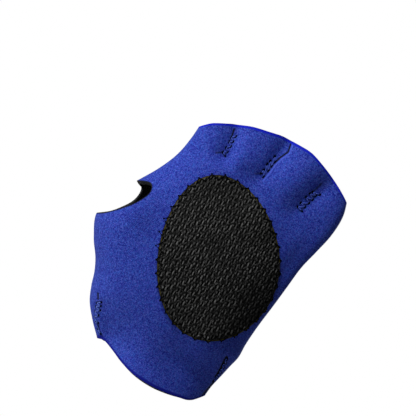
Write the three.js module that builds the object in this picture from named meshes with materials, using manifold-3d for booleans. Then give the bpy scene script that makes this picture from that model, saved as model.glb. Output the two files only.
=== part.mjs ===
// A half-finger fitness glove, the left one of its pair, in the form it takes when worn.
// Millimetres. +Z runs from the wrist to the fingers, the palm faces -Y and the thumb is at -X.
// The origin is the middle of its hollow.
import * as THREE from 'three';
import { mergeVertices } from 'three/addons/utils/BufferGeometryUtils.js';
import Module from 'manifold-3d';

// Driving dimensions
const wallThickness = 2.2;      // neoprene with a jersey face on each side
const pinchGap = 0.3;           // slit left between palm and back wall where they are sewn together
const patchThickness = 1.3;     // textured rubber sheet
const patchClearance = 0.3;     // between the patch and the sleeve below it
const pinchLevel = -6.5;        // the walls are sewn together this far from the middle, to the palm
const tackWidth = 3;            // width of the sewn web between two fingers
const tackDepth = 2.4;          // how far the web reaches through both walls
const fingerRimSetback = 2.2;   // the back's finger edge stands this much lower than the palm's
const wristRimSetback = 4;      // the back's wrist edge stands this much higher than the palm's
const rimFade = 12;             // a valley opens over this distance above its sewn column
const valleyShoulder = 1.08;    // power of a valley's shoulders: the higher, the shorter they are
const valleyRunOut = 0.5;       // a valley widens by this share where it runs out into the palm
const backValley = 0.66;        // width of a valley on the back, as a share of its width on the palm

// Mesh fineness
const stepsAround = 88;
const stepsAlong = 22;
const fingerEndCrowding = 1.4;  // rows lie closer towards the fingers, where the valleys are
const valleyCrowding = 0.5;     // and columns lie closer towards the bottom of a valley
const crowdedColumns = 3;       // so many columns to each side
const patchRings = 8;
const patchSpokes = 36;
const turnStep = 0.02;          // small steps round and along the sleeve that give its normal
const riseStep = 0.8;
const rimPointsEach = 3;        // points of the thumb hole's rim for each one in its table
const mergeDistance = 1e-4;

// The worn sleeve from the wrist up: its two side edges, how far it stands out on the palm and on
// the back, and how square the section is (2 is an ellipse).
const sections = [
  { z: -80, left: -18.0, right: 40.2, palm: 18.5, back: 20.0, square: 2.1 },
  { z: -72, left: -25.6, right: 40.9, palm: 19.0, back: 20.0, square: 2.1 },
  { z: -66, left: -32.6, right: 41.1, palm: 19.5, back: 19.5, square: 2.15 },
  { z: -58, left: -40.3, right: 41.2, palm: 20.5, back: 19.0, square: 2.2 },
  { z: -50, left: -44.8, right: 42.3, palm: 21.5, back: 18.5, square: 2.25 },
  { z: -43, left: -47.7, right: 43.2, palm: 22.3, back: 18.0, square: 2.3 },
  { z: -36, left: -51.9, right: 44.2, palm: 22.8, back: 18.0, square: 2.3 },
  { z: -28, left: -58.6, right: 43.4, palm: 23.0, back: 18.0, square: 2.3 },
  { z: -16, left: -65.2, right: 43.2, palm: 22.5, back: 17.5, square: 2.35 },
  { z: -2, left: -63.2, right: 43.7, palm: 21.0, back: 17.5, square: 2.4 },
  { z: 11, left: -57.4, right: 44.0, palm: 18.5, back: 17.5, square: 2.4 },
  { z: 24, left: -51.3, right: 44.3, palm: 16.5, back: 16.8, square: 2.4 },
  { z: 36, left: -47.4, right: 46.1, palm: 15.5, back: 16.5, square: 2.6 },
  { z: 48, left: -46.2, right: 47.6, palm: 14.8, back: 16.0, square: 3.0 },
  { z: 60, left: -46.4, right: 46.9, palm: 14.0, back: 15.8, square: 3.4 },
  { z: 70, left: -45.8, right: 43.1, palm: 13.6, back: 15.6, square: 3.4 },
  { z: 80, left: -45.0, right: 38.0, palm: 13.2, back: 15.4, square: 3.4 },
];

// Height of the palm's finger edge, from the thumb side (across -1) to the little finger's side (1)
const fingerEdge = [
  { across: -1.0, z: 55.3 },
  { across: -0.87, z: 61.4 },
  { across: -0.52, z: 70.5 },
  { across: -0.25, z: 74.5 },
  { across: -0.04, z: 76.9 },
  { across: 0.2, z: 78.0 },
  { across: 0.37, z: 78.2 },
  { across: 0.55, z: 76.4 },
  { across: 0.73, z: 73.8 },
  { across: 0.88, z: 70.6 },
  { across: 1.0, z: 67.4 },
];

// Height of the palm's wrist edge, the same way across
const wristEdge = [
  { across: -1.0, z: -72.0 },
  { across: -0.83, z: -70.3 },
  { across: -0.7, z: -71.3 },
  { across: -0.49, z: -73.6 },
  { across: -0.23, z: -74.8 },
  { across: 0.13, z: -74.4 },
  { across: 0.4, z: -73.2 },
  { across: 0.65, z: -71.6 },
  { across: 0.85, z: -69.5 },
  { across: 1.0, z: -63.9 },
];

// Sewn columns that close the sleeve between two fingers, from their finger end down. rimDepth is
// how much of the valley is left at the edge above, fadeLength how far it runs out into the palm.
const tacks = [
  { topX: -28.3, topZ: 63.0, lowX: -25.4, lowZ: 50.3, valley: 6.3, rimDepth: 0.83, fadeLength: 9 },
  { topX: -1.7, topZ: 66.2, lowX: -2.1, lowZ: 52.5, valley: 5.2, rimDepth: 0.76, fadeLength: 12 },
  { topX: 28.8, topZ: 63.0, lowX: 25.7, lowZ: 49.2, valley: 6.7, rimDepth: 0.69, fadeLength: 13 },
];

// Soft mounds and hollows of the worn sleeve: side is -1 on the palm and 1 on the back
const mounds = [
  { side: -1, x: -53, z: 0, height: 6, radiusX: 13.5, radiusZ: 16 },     // beside the thumb hole
  { side: -1, x: 28, z: -34, height: 3.8, radiusX: 12, radiusZ: 19 },    // low on the little finger's side
  { side: -1, x: -19, z: -68, height: -6, radiusX: 14.5, radiusZ: 17.5 },  // hollows above the wrist edge
  { side: -1, x: 28, z: -53.5, height: -5.2, radiusX: 24, radiusZ: 12 },
  { side: -1, x: 7, z: -76, height: 4.1, radiusX: 26, radiusZ: 5.7 },    // flare of the wrist edge
  { side: -1, x: 39.5, z: 15, height: -4, radiusX: 6.2, radiusZ: 27 },   // flat beside the palm
  { side: -1, x: -36, z: 34, height: 1.6, radiusX: 13, radiusZ: 13 },    // pads below the finger mouths
  { side: -1, x: -22, z: 48, height: 3.8, radiusX: 9, radiusZ: 11 },
  { side: -1, x: 17, z: 58, height: 3.3, radiusX: 12, radiusZ: 25 },
  { side: -1, x: -5, z: 44.5, height: -3.1, radiusX: 32, radiusZ: 9.6 },  // hollows between them
  { side: -1, x: 26, z: 43, height: -4.9, radiusX: 16, radiusZ: 21 },
  { side: 1, x: -34, z: 34, height: 1.5, radiusX: 8, radiusZ: 12 },      // four low humps on the back
  { side: 1, x: -12, z: 38, height: 2.0, radiusX: 8, radiusZ: 12 },
  { side: 1, x: 12, z: 36, height: 1.7, radiusX: 8, radiusZ: 12 },
  { side: 1, x: 33, z: 30, height: 1.3, radiusX: 8, radiusZ: 12 },
];

// The thumb hole, cut across the thumb-side edge: its rim on the palm and on the back
const thumbHolePalm = [
  [-57.3, 11.2], [-50.8, 14.4], [-48.2, 13.2], [-47.4, 10.0], [-48.4, 6.0],
  [-51.0, 0.5], [-54.5, -4.6], [-58.0, -9.0], [-61.7, -13.0], [-65.6, -15.9],
];
const thumbHoleBack = [
  [-57.3, 11.2], [-53.6, 9.6], [-52.6, 5.5], [-53.4, 0.5], [-56.2, -5.0], [-60.0, -10.6], [-65.6, -15.9],
];
const cutterReach = 14;         // how far the cutters run past the sleeve's edge
const cutterDepth = 45;
const cutterOverlap = 0.4;      // the two cutters pass the middle plane by this much

// The oval grip patch on the palm, longer towards the forefinger
const patch = {
  x: 3.8,
  z: 2.8,
  halfWidth: 33.1,
  halfLength: 44.7,
  tiltDeg: 32.4,
  egg: -0.093,                  // the finger end is this much narrower than an even oval
  lopsided: -0.093,             // the little finger's side is this much shorter
};

const wasm = await Module();
wasm.setup();

// Smooth value of one column of a table at a place along its key column
function readTable(table, key, column, at) {
  const last = table.length - 1;
  let i = 0;
  while (i < last - 1 && table[i + 1][key] < at) i += 1;
  const slope = (j) => {
    const before = table[Math.max(j - 1, 0)];
    const after = table[Math.min(j + 1, last)];
    return (after[column] - before[column]) / (after[key] - before[key]);
  };
  const span = table[i + 1][key] - table[i][key];
  const t = THREE.MathUtils.clamp((at - table[i][key]) / span, 0, 1);
  const rise = 3 * t * t - 2 * t * t * t;
  return table[i][column] * (1 - rise) + table[i + 1][column] * rise
    + span * slope(i) * (t - 2 * t * t + t * t * t)
    + span * slope(i + 1) * (t * t * t - t * t);
}

function bell(distance, radius) {
  return Math.exp(-(distance * distance) / (radius * radius));
}

// Cross-section of a valley: steeper at its bottom than a bell, with longer shoulders
function cleft(distance, width) {
  return Math.pow(1 + (distance * distance) / (width * width), -valleyShoulder);
}

// Where the line of a sewn column crosses a height, straight on past its ends
function tackLine(tack, z) {
  return tack.lowX + (tack.topX - tack.lowX) * (z - tack.lowZ) / (tack.topZ - tack.lowZ);
}

// 1 where palm and back are sewn together between two fingers, 0 away from the valleys
function valleyDepth(x, z, side) {
  let open = 1;
  for (const tack of tacks) {
    const centre = tackLine(tack, z);
    const below = THREE.MathUtils.smoothstep(z, tack.lowZ - tack.fadeLength, tack.lowZ);
    const above = 1 - (1 - tack.rimDepth) * THREE.MathUtils.smoothstep(z, tack.topZ, tack.topZ + rimFade);
    const widening = 1 + valleyRunOut * (1 - below);
    const width = tack.valley * widening * (side > 0 ? backValley : 1);
    open *= 1 - below * above * cleft(x - centre, width);
  }
  return 1 - open;
}

// A point of the outer face. around runs from 0 at the thumb-side edge over the palm to pi at the
// little finger's edge, and on over the back to two pi.
function outerPoint(around, z) {
  const read = (column) => readTable(sections, 'z', column, z);
  const left = read('left');
  const right = read('right');
  const side = Math.sin(around) >= 0 ? -1 : 1;
  const across = -Math.cos(around);
  const square = read('square');
  const fullness = Math.pow(Math.max(1 - Math.pow(Math.abs(across), square), 0), 1 / square);
  const x = (left + right) / 2 + across * (right - left) / 2;
  let depth = read(side < 0 ? 'palm' : 'back') * fullness;
  for (const mound of mounds) {
    if (mound.side !== side) continue;
    depth += mound.height * fullness * bell(x - mound.x, mound.radiusX) * bell(z - mound.z, mound.radiusZ);
  }
  const valley = valleyDepth(x, z, side);
  const pinched = (side * (wallThickness + pinchGap / 2) + pinchLevel) * fullness;
  return new THREE.Vector3(x, side * depth * (1 - valley) + pinched * valley, z);
}

// Height at a fraction of the way from the wrist edge to the finger edge
function heightAt(around, fraction) {
  const across = -Math.cos(around);
  const behind = Math.max(-Math.sin(around), 0);
  const low = readTable(wristEdge, 'across', 'z', across) + wristRimSetback * behind;
  const high = readTable(fingerEdge, 'across', 'z', across) - fingerRimSetback * behind;
  return low + (high - low) * fraction;
}

// Where around the section a place on the palm lies, seen from the front
function aroundAt(x, z) {
  const left = readTable(sections, 'z', 'left', z);
  const right = readTable(sections, 'z', 'right', z);
  return Math.acos(THREE.MathUtils.clamp((left + right - 2 * x) / (right - left), -1, 1));
}

// A grid step moved aside so that one column of the grid runs along each sewn column, with its
// neighbours drawn in towards it
function settleStep(around, z) {
  const onPalm = around <= Math.PI;
  const seen = onPalm ? around : 2 * Math.PI - around;
  const spacing = 2 * Math.PI / stepsAround;
  let moved = seen;
  for (const tack of tacks) {
    const lineAt = (level) => aroundAt(tackLine(tack, level), level);
    const column = Math.round(lineAt((tack.lowZ + tack.topZ) / 2) / spacing) * spacing;
    const line = lineAt(Math.max(z, tack.lowZ - tack.fadeLength / 2));
    const drawn = line - column - valleyCrowding * (seen - column);
    moved += drawn * bell(seen - column, crowdedColumns * spacing);
  }
  return onPalm ? moved : 2 * Math.PI - moved;
}

// Outward direction of the outer face
function outwardAt(around, z) {
  const alongLoop = outerPoint(around + turnStep, z).sub(outerPoint(around - turnStep, z));
  const alongSleeve = outerPoint(around, z + riseStep).sub(outerPoint(around, z - riseStep));
  return alongLoop.cross(alongSleeve).normalize();
}

function toSolid(positions, triangles) {
  let geometry = new THREE.BufferGeometry();
  geometry.setAttribute('position', new THREE.Float32BufferAttribute(positions, 3));
  geometry.setIndex(triangles);
  geometry = mergeVertices(geometry, mergeDistance);
  return new wasm.Manifold(new wasm.Mesh({
    numProp: 3,
    vertProperties: new Float32Array(geometry.attributes.position.array),
    triVerts: new Uint32Array(geometry.index.array),
  }));
}

function geometryToSolid(source) {
  const geometry = source.clone();
  geometry.deleteAttribute('normal');
  geometry.deleteAttribute('uv');
  const merged = mergeVertices(geometry, mergeDistance);
  return toSolid(Array.from(merged.attributes.position.array), Array.from(merged.index.array));
}

function solidToGeometry(solid) {
  const mesh = solid.getMesh();
  const geometry = new THREE.BufferGeometry();
  geometry.setAttribute('position', new THREE.BufferAttribute(new Float32Array(mesh.vertProperties), 3));
  geometry.setIndex(new THREE.BufferAttribute(new Uint32Array(mesh.triVerts), 1));
  geometry.computeVertexNormals();
  return geometry;
}

// Points of a skin that follows the outer face at a distance, row by row from the wrist up
function skinPoints(raised) {
  const positions = [];
  for (let row = 0; row <= stepsAlong; row += 1) {
    const fraction = 1 - Math.pow(1 - row / stepsAlong, fingerEndCrowding);
    for (let step = 0; step < stepsAround; step += 1) {
      const even = (step / stepsAround) * 2 * Math.PI;
      const around = settleStep(even, heightAt(even, fraction));
      const z = heightAt(around, fraction);
      const point = outerPoint(around, z).addScaledVector(outwardAt(around, z), raised);
      positions.push(point.x, point.y, point.z);
    }
  }
  return positions;
}

function quad(triangles, a, b, c, d) {
  triangles.push(a, b, c, a, c, d);
}

function skinIndex(row, step) {
  return row * stepsAround + (step % stepsAround);
}

// The sleeve's wall: an outer and an inner skin of the same grid, joined at both rims
function sleeveWall() {
  const triangles = [];
  const outer = skinIndex;
  const inner = (row, step) => (stepsAlong + 1) * stepsAround + skinIndex(row, step);
  for (let step = 0; step < stepsAround; step += 1) {
    const next = step + 1;
    for (let row = 0; row < stepsAlong; row += 1) {
      quad(triangles, outer(row, step), outer(row, next), outer(row + 1, next), outer(row + 1, step));
      quad(triangles, inner(row, step), inner(row + 1, step), inner(row + 1, next), inner(row, next));
    }
    const top = stepsAlong;
    quad(triangles, outer(0, step), inner(0, step), inner(0, next), outer(0, next));
    quad(triangles, outer(top, step), outer(top, next), inner(top, next), inner(top, step));
  }
  return toSolid([...skinPoints(0), ...skinPoints(-wallThickness)], triangles);
}

// The room that the sleeve fills, raised by a clearance and closed from palm to back at both ends
function filledSleeve(raised) {
  const triangles = [];
  for (let step = 0; step < stepsAround; step += 1) {
    for (let row = 0; row < stepsAlong; row += 1) {
      quad(triangles, skinIndex(row, step), skinIndex(row, step + 1),
        skinIndex(row + 1, step + 1), skinIndex(row + 1, step));
    }
  }
  for (let step = 0; step < stepsAround / 2; step += 1) {
    const across = stepsAround - step;
    const rung = (row) => [skinIndex(row, step), skinIndex(row, step + 1),
      skinIndex(row, across - 1), skinIndex(row, across)];
    const [a, b, c, d] = rung(stepsAlong);
    const [e, f, g, h] = rung(0);
    if (b !== c) triangles.push(a, b, c);
    if (a !== d) triangles.push(a, c, d);
    if (f !== g) triangles.push(e, g, f);
    if (e !== h) triangles.push(e, h, g);
  }
  return toSolid(skinPoints(raised), triangles);
}

// The web that joins palm and back along one sewn column
function tackWeb(tack) {
  const length = Math.hypot(tack.topX - tack.lowX, tack.topZ - tack.lowZ);
  const box = new THREE.BoxGeometry(tackWidth, tackDepth, length);
  box.rotateY(Math.atan2(tack.topX - tack.lowX, tack.topZ - tack.lowZ));
  box.translate((tack.topX + tack.lowX) / 2, pinchLevel, (tack.topZ + tack.lowZ) / 2);
  return geometryToSolid(box);
}

// A cutter for one side of the thumb hole, from the middle plane outwards
function thumbCutter(rim, side) {
  const shape = new THREE.Shape();
  const curve = new THREE.CatmullRomCurve3(rim.map(([x, z]) => new THREE.Vector3(x, z, 0)));
  const points = curve.getPoints(rim.length * rimPointsEach);
  shape.moveTo(points[0].x - cutterReach, points[0].y);
  for (const point of points) shape.lineTo(point.x, point.y);
  shape.lineTo(points[points.length - 1].x - cutterReach, points[points.length - 1].y);
  shape.closePath();
  const cutter = new THREE.ExtrudeGeometry(shape, { depth: cutterDepth, bevelEnabled: false });
  cutter.rotateX(Math.PI / 2);
  cutter.translate(0, side > 0 ? cutterDepth - cutterOverlap : cutterOverlap, 0);
  return geometryToSolid(cutter);
}

function sleeveGeometry() {
  let solid = sleeveWall();
  for (const tack of tacks) solid = solid.add(tackWeb(tack));
  solid = solid.subtract(thumbCutter(thumbHolePalm, -1));
  solid = solid.subtract(thumbCutter(thumbHoleBack, 1));
  return solidToGeometry(solid);
}

// A point of the palm's outer face under a place in the XZ plane, raised along its normal
function palmPoint(x, z, raised) {
  const around = aroundAt(x, z);
  return outerPoint(around, z).addScaledVector(outwardAt(around, z), raised);
}

// The patch is a thick oval block that dips into the palm, less the room that the sleeve fills
function patchGeometry() {
  const positions = [];
  const triangles = [];
  const tilt = THREE.MathUtils.degToRad(patch.tiltDeg);
  for (const raised of [-wallThickness / 2, patchClearance + patchThickness]) {
    positions.push(...palmPoint(patch.x, patch.z, raised).toArray());
    for (let ring = 1; ring <= patchRings; ring += 1) {
      for (let spoke = 0; spoke < patchSpokes; spoke += 1) {
        const angle = (spoke / patchSpokes) * 2 * Math.PI;
        const reach = ring / patchRings;
        const [sine, cosine] = [Math.sin(angle), Math.cos(angle)];
        const lengthwise = reach * patch.halfLength * sine * (1 + patch.lopsided * cosine);
        const crosswise = reach * patch.halfWidth * cosine * (1 + patch.egg * sine);
        const x = patch.x + crosswise * Math.cos(tilt) - lengthwise * Math.sin(tilt);
        const z = patch.z + crosswise * Math.sin(tilt) + lengthwise * Math.cos(tilt);
        positions.push(...palmPoint(x, z, raised).toArray());
      }
    }
  }
  const face = 1 + patchRings * patchSpokes;
  const index = (upper, ring, spoke) => upper * face + 1 + (ring - 1) * patchSpokes + (spoke % patchSpokes);
  for (let spoke = 0; spoke < patchSpokes; spoke += 1) {
    triangles.push(0, index(0, 1, spoke + 1), index(0, 1, spoke));
    triangles.push(face, index(1, 1, spoke), index(1, 1, spoke + 1));
    for (let ring = 1; ring < patchRings; ring += 1) {
      const corners = (upper) => [index(upper, ring, spoke), index(upper, ring + 1, spoke),
        index(upper, ring + 1, spoke + 1), index(upper, ring, spoke + 1)];
      const [a, b, c, d] = corners(0);
      triangles.push(a, c, b, a, d, c);
      const [e, f, g, h] = corners(1);
      triangles.push(e, f, g, e, g, h);
    }
    const [a, b] = [index(0, patchRings, spoke), index(0, patchRings, spoke + 1)];
    const [c, d] = [index(1, patchRings, spoke + 1), index(1, patchRings, spoke)];
    triangles.push(a, b, c, a, c, d);
  }
  return solidToGeometry(toSolid(positions, triangles).subtract(filledSleeve(patchClearance)));
}

const neoprene = new THREE.MeshStandardMaterial({ color: 0x2f45a8, roughness: 0.8, metalness: 0 });
const gripRubber = new THREE.MeshStandardMaterial({ color: 0x1a1a1a, roughness: 0.55, metalness: 0 });

const sleeve = new THREE.Mesh(sleeveGeometry(), neoprene);
sleeve.name = 'neoprene_sleeve';

const gripPatch = new THREE.Mesh(patchGeometry(), gripRubber);
gripPatch.name = 'grip_patch';

const glove = new THREE.Group();
glove.add(sleeve, gripPatch);

export default glove;
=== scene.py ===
import math

import bpy
import numpy as np
from mathutils import Matrix, Vector


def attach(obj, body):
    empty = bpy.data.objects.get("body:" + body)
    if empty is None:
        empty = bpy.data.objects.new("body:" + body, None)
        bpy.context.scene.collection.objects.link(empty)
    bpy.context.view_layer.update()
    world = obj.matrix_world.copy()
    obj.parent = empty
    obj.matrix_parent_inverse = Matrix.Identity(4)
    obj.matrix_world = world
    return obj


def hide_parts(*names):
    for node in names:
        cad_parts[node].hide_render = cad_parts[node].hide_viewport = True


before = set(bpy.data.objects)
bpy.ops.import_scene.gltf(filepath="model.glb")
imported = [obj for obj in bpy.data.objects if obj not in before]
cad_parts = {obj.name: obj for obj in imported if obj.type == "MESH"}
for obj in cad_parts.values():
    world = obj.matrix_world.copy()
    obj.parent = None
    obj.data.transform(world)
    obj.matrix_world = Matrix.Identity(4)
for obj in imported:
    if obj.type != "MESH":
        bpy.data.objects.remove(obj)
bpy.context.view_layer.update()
millimetre = 0.001


# Curves and tables

def readTable(rows, key, column, at):
    keys = np.array([float(row[key]) for row in rows])
    values = np.array([float(row[column]) for row in rows])
    last = len(rows) - 1
    before = np.maximum(np.arange(last + 1) - 1, 0)
    after = np.minimum(np.arange(last + 1) + 1, last)
    slopes = (values[after] - values[before]) / (keys[after] - keys[before])
    at = np.asarray(at, float)
    i = np.clip(np.searchsorted(keys, at, side="right") - 1, 0, last - 1)
    span = keys[i + 1] - keys[i]
    t = np.clip((at - keys[i]) / span, 0, 1)
    rise = 3 * t * t - 2 * t ** 3
    return (values[i] * (1 - rise) + values[i + 1] * rise
            + span * slopes[i] * (t - 2 * t * t + t ** 3)
            + span * slopes[i + 1] * (t ** 3 - t * t))


def bell(distance, radius):
    return np.exp(-(distance / radius) ** 2)


def smoothStep(value, low, high):
    t = np.clip((value - low) / (high - low), 0, 1)
    return t * t * (3 - 2 * t)


# Distance of places from a line of points, and the point on the line that each is nearest to
def nearestOnLine(x, z, points):
    gap = np.full(np.shape(x), 1e9)
    spotX, spotZ = np.zeros_like(gap), np.zeros_like(gap)
    for (x0, z0), (x1, z1) in zip(points, points[1:]):
        reach = (x1 - x0) ** 2 + (z1 - z0) ** 2
        t = np.clip(((x - x0) * (x1 - x0) + (z - z0) * (z1 - z0)) / reach, 0, 1)
        nearX, nearZ = x0 + t * (x1 - x0), z0 + t * (z1 - z0)
        distance = np.hypot(x - nearX, z - nearZ)
        closer = distance < gap
        gap = np.where(closer, distance, gap)
        spotX, spotZ = np.where(closer, nearX, spotX), np.where(closer, nearZ, spotZ)
    return gap, spotX, spotZ


def catmullRom(points, parts=8):
    points = np.array(points, float)
    ends = [2 * points[0] - points[1], *points, 2 * points[-1] - points[-2]]
    line = []
    for a, b, c, d in zip(ends, ends[1:], ends[2:], ends[3:]):
        for t in np.arange(parts) / parts:
            line.append(0.5 * (2 * b + (c - a) * t + (2 * a - 5 * b + 4 * c - d) * t * t
                               + (3 * b - a - 3 * c + d) * t ** 3))
    line.append(points[-1])
    return np.array(line)


# Scene helpers

def selectOnly(piece):
    bpy.ops.object.select_all(action="DESELECT")
    piece.select_set(True)
    bpy.context.view_layer.objects.active = piece


def selectNoCorners(piece):
    selectOnly(piece)
    bpy.ops.object.mode_set(mode="EDIT")
    bpy.ops.mesh.select_all(action="DESELECT")
    bpy.ops.object.mode_set(mode="OBJECT")


def applyModifier(piece, kind, **settings):
    selectOnly(piece)
    modifier = piece.modifiers.new(kind.lower(), kind)
    for name, value in settings.items():
        setattr(modifier, name, value)
    bpy.ops.object.modifier_apply(modifier=modifier.name)


def smoothShade(piece, degrees):
    selectOnly(piece)
    bpy.ops.object.shade_smooth_by_angle(angle=math.radians(degrees))


def readCorners(piece):
    corners = np.empty(len(piece.data.vertices) * 3)
    piece.data.vertices.foreach_get("co", corners)
    return corners.reshape(-1, 3)


def writeCorners(piece, corners):
    piece.data.vertices.foreach_set("co", np.asarray(corners, float).ravel())
    piece.data.update()


def addGrid(name, columns, rows):
    bpy.ops.object.select_all(action="DESELECT")
    bpy.ops.mesh.primitive_grid_add(x_subdivisions=columns, y_subdivisions=rows, size=2)
    piece = bpy.context.object
    piece.name = name
    return piece


def addObject(name, data):
    holder = bpy.data.objects.new(name, data)
    bpy.context.collection.objects.link(holder)
    return holder


def addFloatAttribute(piece, name, values):
    attribute = piece.data.attributes.new(name, "FLOAT", "POINT")
    attribute.data.foreach_set("value", np.asarray(values, float))


# Shader maths as plain expressions

class Wire:
    def __init__(self, finish, socket):
        self.finish = finish
        self.socket = socket

    def math(self, operation, *others):
        values = dict(enumerate((self, *others)))
        return self.finish.add("ShaderNodeMath", {"operation": operation}, values)

    def __add__(self, other):
        return self.math("ADD", other)

    __radd__ = __add__

    def __mul__(self, other):
        return self.math("MULTIPLY", other)

    __rmul__ = __mul__

    def __sub__(self, other):
        return self.math("SUBTRACT", other)

    def __rsub__(self, other):
        return self.finish.add("ShaderNodeMath", {"operation": "SUBTRACT"}, {0: other, 1: self})

    def __pow__(self, other):
        return self.math("POWER", other)

    # what is left of a value once its nearest whole number is taken away
    def offCentre(self):
        return self - self.math("ROUND")


# The nodes of a material or a world
class Finish:
    def __init__(self, owner):
        owner.use_nodes = True
        self.owner = owner
        self.tree = owner.node_tree
        self.tree.nodes.clear()

    def add(self, kind, settings=None, values=None, output=0):
        node = self.tree.nodes.new(kind)
        for key, value in (settings or {}).items():
            setattr(node, key, value)
        for key, value in (values or {}).items():
            if isinstance(value, Wire):
                self.tree.links.new(value.socket, node.inputs[key])
            else:
                node.inputs[key].default_value = value
        return Wire(self, node.outputs[output]) if len(node.outputs) else None

    def attribute(self, name, output="Fac"):
        return self.add("ShaderNodeAttribute", {"attribute_name": name}, output=output)

    def place(self):
        return self.add("ShaderNodeTexCoord", output="Object")

    def noise(self, where, size, detail=2.0, roughness=0.5):
        values = {"Vector": where, "Scale": 1 / size, "Detail": detail, "Roughness": roughness}
        return self.add("ShaderNodeTexNoise", {}, values, "Fac")

    # An own even tone for every small cell
    def fleck(self, where, size):
        colour = self.add("ShaderNodeTexVoronoi", {}, {"Vector": where, "Scale": 1 / size}, "Color")
        return self.add("ShaderNodeSeparateColor", {}, {0: colour})

    # Distance of a place from a line of points, in the line's own unit
    def lineGap(self, x, z, points):
        nearest = None
        for (x0, z0), (x1, z1) in zip(points, points[1:]):
            runX, runZ = x1 - x0, z1 - z0
            reach = runX ** 2 + runZ ** 2
            fromX, fromZ = x - x0, z - z0
            part = self.band(fromX * (runX / reach) + fromZ * (runZ / reach), 0.0, 1.0)
            gapX, gapZ = fromX - part * runX, fromZ - part * runZ
            gap = gapX * gapX + gapZ * gapZ
            nearest = gap if nearest is None else nearest.math("MINIMUM", gap)
        return nearest ** 0.5

    def band(self, value, low, high, toLow=0.0, toHigh=1.0):
        values = {"Value": value, "From Min": low, "From Max": high, "To Min": toLow, "To Max": toHigh}
        return self.add("ShaderNodeMapRange", {"clamp": True}, values)

    def blend(self, factor, first, second):
        values = {0: factor, 6: first, 7: second}
        return self.add("ShaderNodeMix", {"data_type": "RGBA"}, values, 2)

    def bump(self, height, strength, distance):
        values = {"Height": height, "Strength": strength, "Distance": distance}
        return self.add("ShaderNodeBump", {}, values)

    def surface(self, **values):
        sockets = {name.replace("_", " "): value for name, value in values.items()}
        shader = self.add("ShaderNodeBsdfPrincipled", {}, sockets)
        self.add("ShaderNodeOutputMaterial", {}, {"Surface": shader})
        return self.owner


# Even finishes: a dark and a light tone that a fine grain mixes. grain is its size in metres, its
# detail and its roughness, and spread the range of it that goes from dark to light.
threadLook = {"grain": (0.0005, 1.0, 0.5), "spread": (0.35, 0.65), "bump": (0.5, 0.0002)}
evenFinishes = [
    {"name": "blackLining", "dark": (0.004, 0.004, 0.005, 1), "light": (0.016, 0.016, 0.018, 1),
     "grain": (0.0012, 2.5, 0.6), "spread": (0.3, 0.7), "bump": (0.4, 0.0003),
     "roughness": 0.85, "sheen": 0.0, "specular": 0.5},
    {"name": "cutFoam", "dark": (0.003, 0.003, 0.004, 1), "light": (0.014, 0.014, 0.017, 1),
     "grain": (0.0006, 3.0, 0.6), "spread": (0.35, 0.65), "bump": (0.6, 0.0003),
     "roughness": 0.9, "sheen": 0.0, "specular": 0.5},
    {"name": "cutRubberEdge", "dark": (0.001, 0.001, 0.001, 1), "light": (0.006, 0.0055, 0.004, 1),
     "grain": (0.0012, 2.0, 0.6), "spread": (0.35, 0.65), "bump": (0.4, 0.0003),
     "roughness": 0.7, "sheen": 0.0, "specular": 0.2},
    {**threadLook, "name": "blueThread", "dark": (0.014, 0.038, 0.34, 1), "light": (0.09, 0.18, 0.88, 1),
     "roughness": 0.45, "sheen": 0.3, "specular": 0.3},
    # a lighter copy of the blue thread: painted highlight for the lit thumb-side dart
    {**threadLook, "name": "paleThread", "dark": (0.03, 0.07, 0.50, 1), "light": (0.16, 0.30, 0.98, 1),
     "roughness": 0.45, "sheen": 0.3, "specular": 0.3},
    {**threadLook, "name": "blackThread", "dark": (0.0005, 0.0005, 0.0006, 1),
     "light": (0.002, 0.002, 0.002, 1), "roughness": 0.8, "sheen": 0.03, "specular": 0.03},
    # needleHole: near-black painted shade for the plugs that stand in for the needle holes
    {**threadLook, "name": "needleHole", "dark": (0.0002, 0.0002, 0.0004, 1),
     "light": (0.0004, 0.0004, 0.0008, 1), "roughness": 0.9, "sheen": 0.0, "specular": 0.0},
]


def makeEvenFinish(row):
    f = Finish(bpy.data.materials.new(row["name"]))
    grain = f.noise(f.place(), *row["grain"])
    shade = f.blend(f.band(grain, *row["spread"]), row["dark"], row["light"])
    return f.surface(Base_Color=shade, Roughness=row["roughness"], Normal=f.bump(grain, *row["bump"]),
                     Sheen_Weight=row["sheen"], Specular_IOR_Level=row["specular"])


finishes = {row["name"]: makeEvenFinish(row) for row in evenFinishes}
print("even finishes made")


# The sleeve's form

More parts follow.
